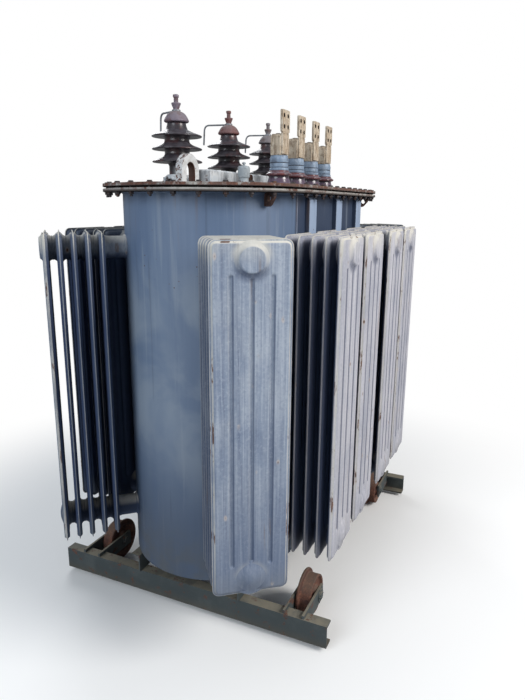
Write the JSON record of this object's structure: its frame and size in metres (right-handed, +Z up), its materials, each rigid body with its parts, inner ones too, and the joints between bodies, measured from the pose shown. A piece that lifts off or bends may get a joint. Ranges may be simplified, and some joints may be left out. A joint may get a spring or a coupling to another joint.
{
  "type": "power transformer",
  "caption": "Oil-filled power transformer with an obround tank, panel radiators, porcelain bushings on a bolted lid, and a channel base on rollers.",
  "frame": {"origin": "on the ground under the middle of the tank, at the centre of the outer box's foot", "axes": "+X along the tank towards its far end, +Y towards the high-voltage side, +Z up"},
  "size_m": [2.1224, 1.32, 2.1835],
  "materials": {
    "tank_paint": "weathered semi-gloss blue-grey paint",
    "lid_paint": "weathered grey paint with rust along the edges",
    "gasket_rubber": "aged black rubber",
    "radiator_paint": "semi-gloss pale blue-grey paint with rust spots on the welded rims",
    "hv_glaze": "dark brown porcelain glaze",
    "lv_glaze": "red-brown porcelain glaze",
    "terminal_metal": "weathered, dull",
    "cap_metal": "weathered, with oxide",
    "fitting_paint": "chalky light grey paint with rust",
    "rusty_steel": "rusted",
    "base_paint": "dark grey paint, dusty"
  },
  "bodies": {
    "transformer": {"tank_wall": "tank_paint", "tank_floor": "tank_paint", "tank_flange": "lid_paint", "lid": "lid_paint", "lid_gasket": "gasket_rubber", "radiator_right_1": "radiator_paint", "radiator_right_2": "radiator_paint", "radiator_right_3": "radiator_paint", "radiator_right_4": "radiator_paint", "radiator_left_1": "radiator_paint", "radiator_left_2": "radiator_paint", "radiator_left_3": "radiator_paint", "radiator_left_4": "radiator_paint", "radiator_near_right": "radiator_paint", "radiator_near_left": "radiator_paint", "radiator_far_right": "radiator_paint", "radiator_far_left": "radiator_paint", "hv_clamp_1": "fitting_paint", "hv_insulator_1": "hv_glaze", "hv_terminal_1": "cap_metal", "hv_clamp_2": "fitting_paint", "hv_insulator_2": "hv_glaze", "hv_terminal_2": "cap_metal", "hv_clamp_3": "fitting_paint", "hv_insulator_3": "hv_glaze", "hv_terminal_3": "cap_metal", "lv_insulator_1": "lv_glaze", "lv_terminal_1": "terminal_metal", "lv_insulator_2": "lv_glaze", "lv_terminal_2": "terminal_metal", "lv_insulator_3": "lv_glaze", "lv_terminal_3": "terminal_metal", "lv_insulator_4": "lv_glaze", "lv_terminal_4": "terminal_metal", "lid_lifting_bow": "fitting_paint", "lid_duct": "fitting_paint", "lid_vent": "fitting_paint", "thermometer_pocket": "rusty_steel", "lifting_eye_near_right": "rusty_steel", "lifting_eye_near_left": "rusty_steel", "cross_beam_near": "base_paint", "lifting_eye_far_right": "rusty_steel", "lifting_eye_far_left": "rusty_steel", "cross_beam_far": "base_paint", "skid_right": "base_paint", "skid_left": "base_paint"},
    "roller_near_right_body": {"roller_near_right": "rusty_steel"},
    "roller_near_left_body": {"roller_near_left": "rusty_steel"},
    "roller_far_right_body": {"roller_far_right": "rusty_steel"},
    "roller_far_left_body": {"roller_far_left": "rusty_steel"}
  },
  "joints": [
    {"name": "roller_near_right_spin", "type": "hinge", "parent": "transformer", "child": "roller_near_right_body", "pos_m": [-0.545, -0.515, 0.1], "axis": [0, 1, 0], "continuous": true},
    {"name": "roller_near_left_spin", "type": "hinge", "parent": "transformer", "child": "roller_near_left_body", "pos_m": [-0.545, 0.515, 0.1], "axis": [0, 1, 0], "continuous": true},
    {"name": "roller_far_right_spin", "type": "hinge", "parent": "transformer", "child": "roller_far_right_body", "pos_m": [0.545, -0.515, 0.1], "axis": [0, 1, 0], "continuous": true},
    {"name": "roller_far_left_spin", "type": "hinge", "parent": "transformer", "child": "roller_far_left_body", "pos_m": [0.545, 0.515, 0.1], "axis": [0, 1, 0], "continuous": true}
  ]
}
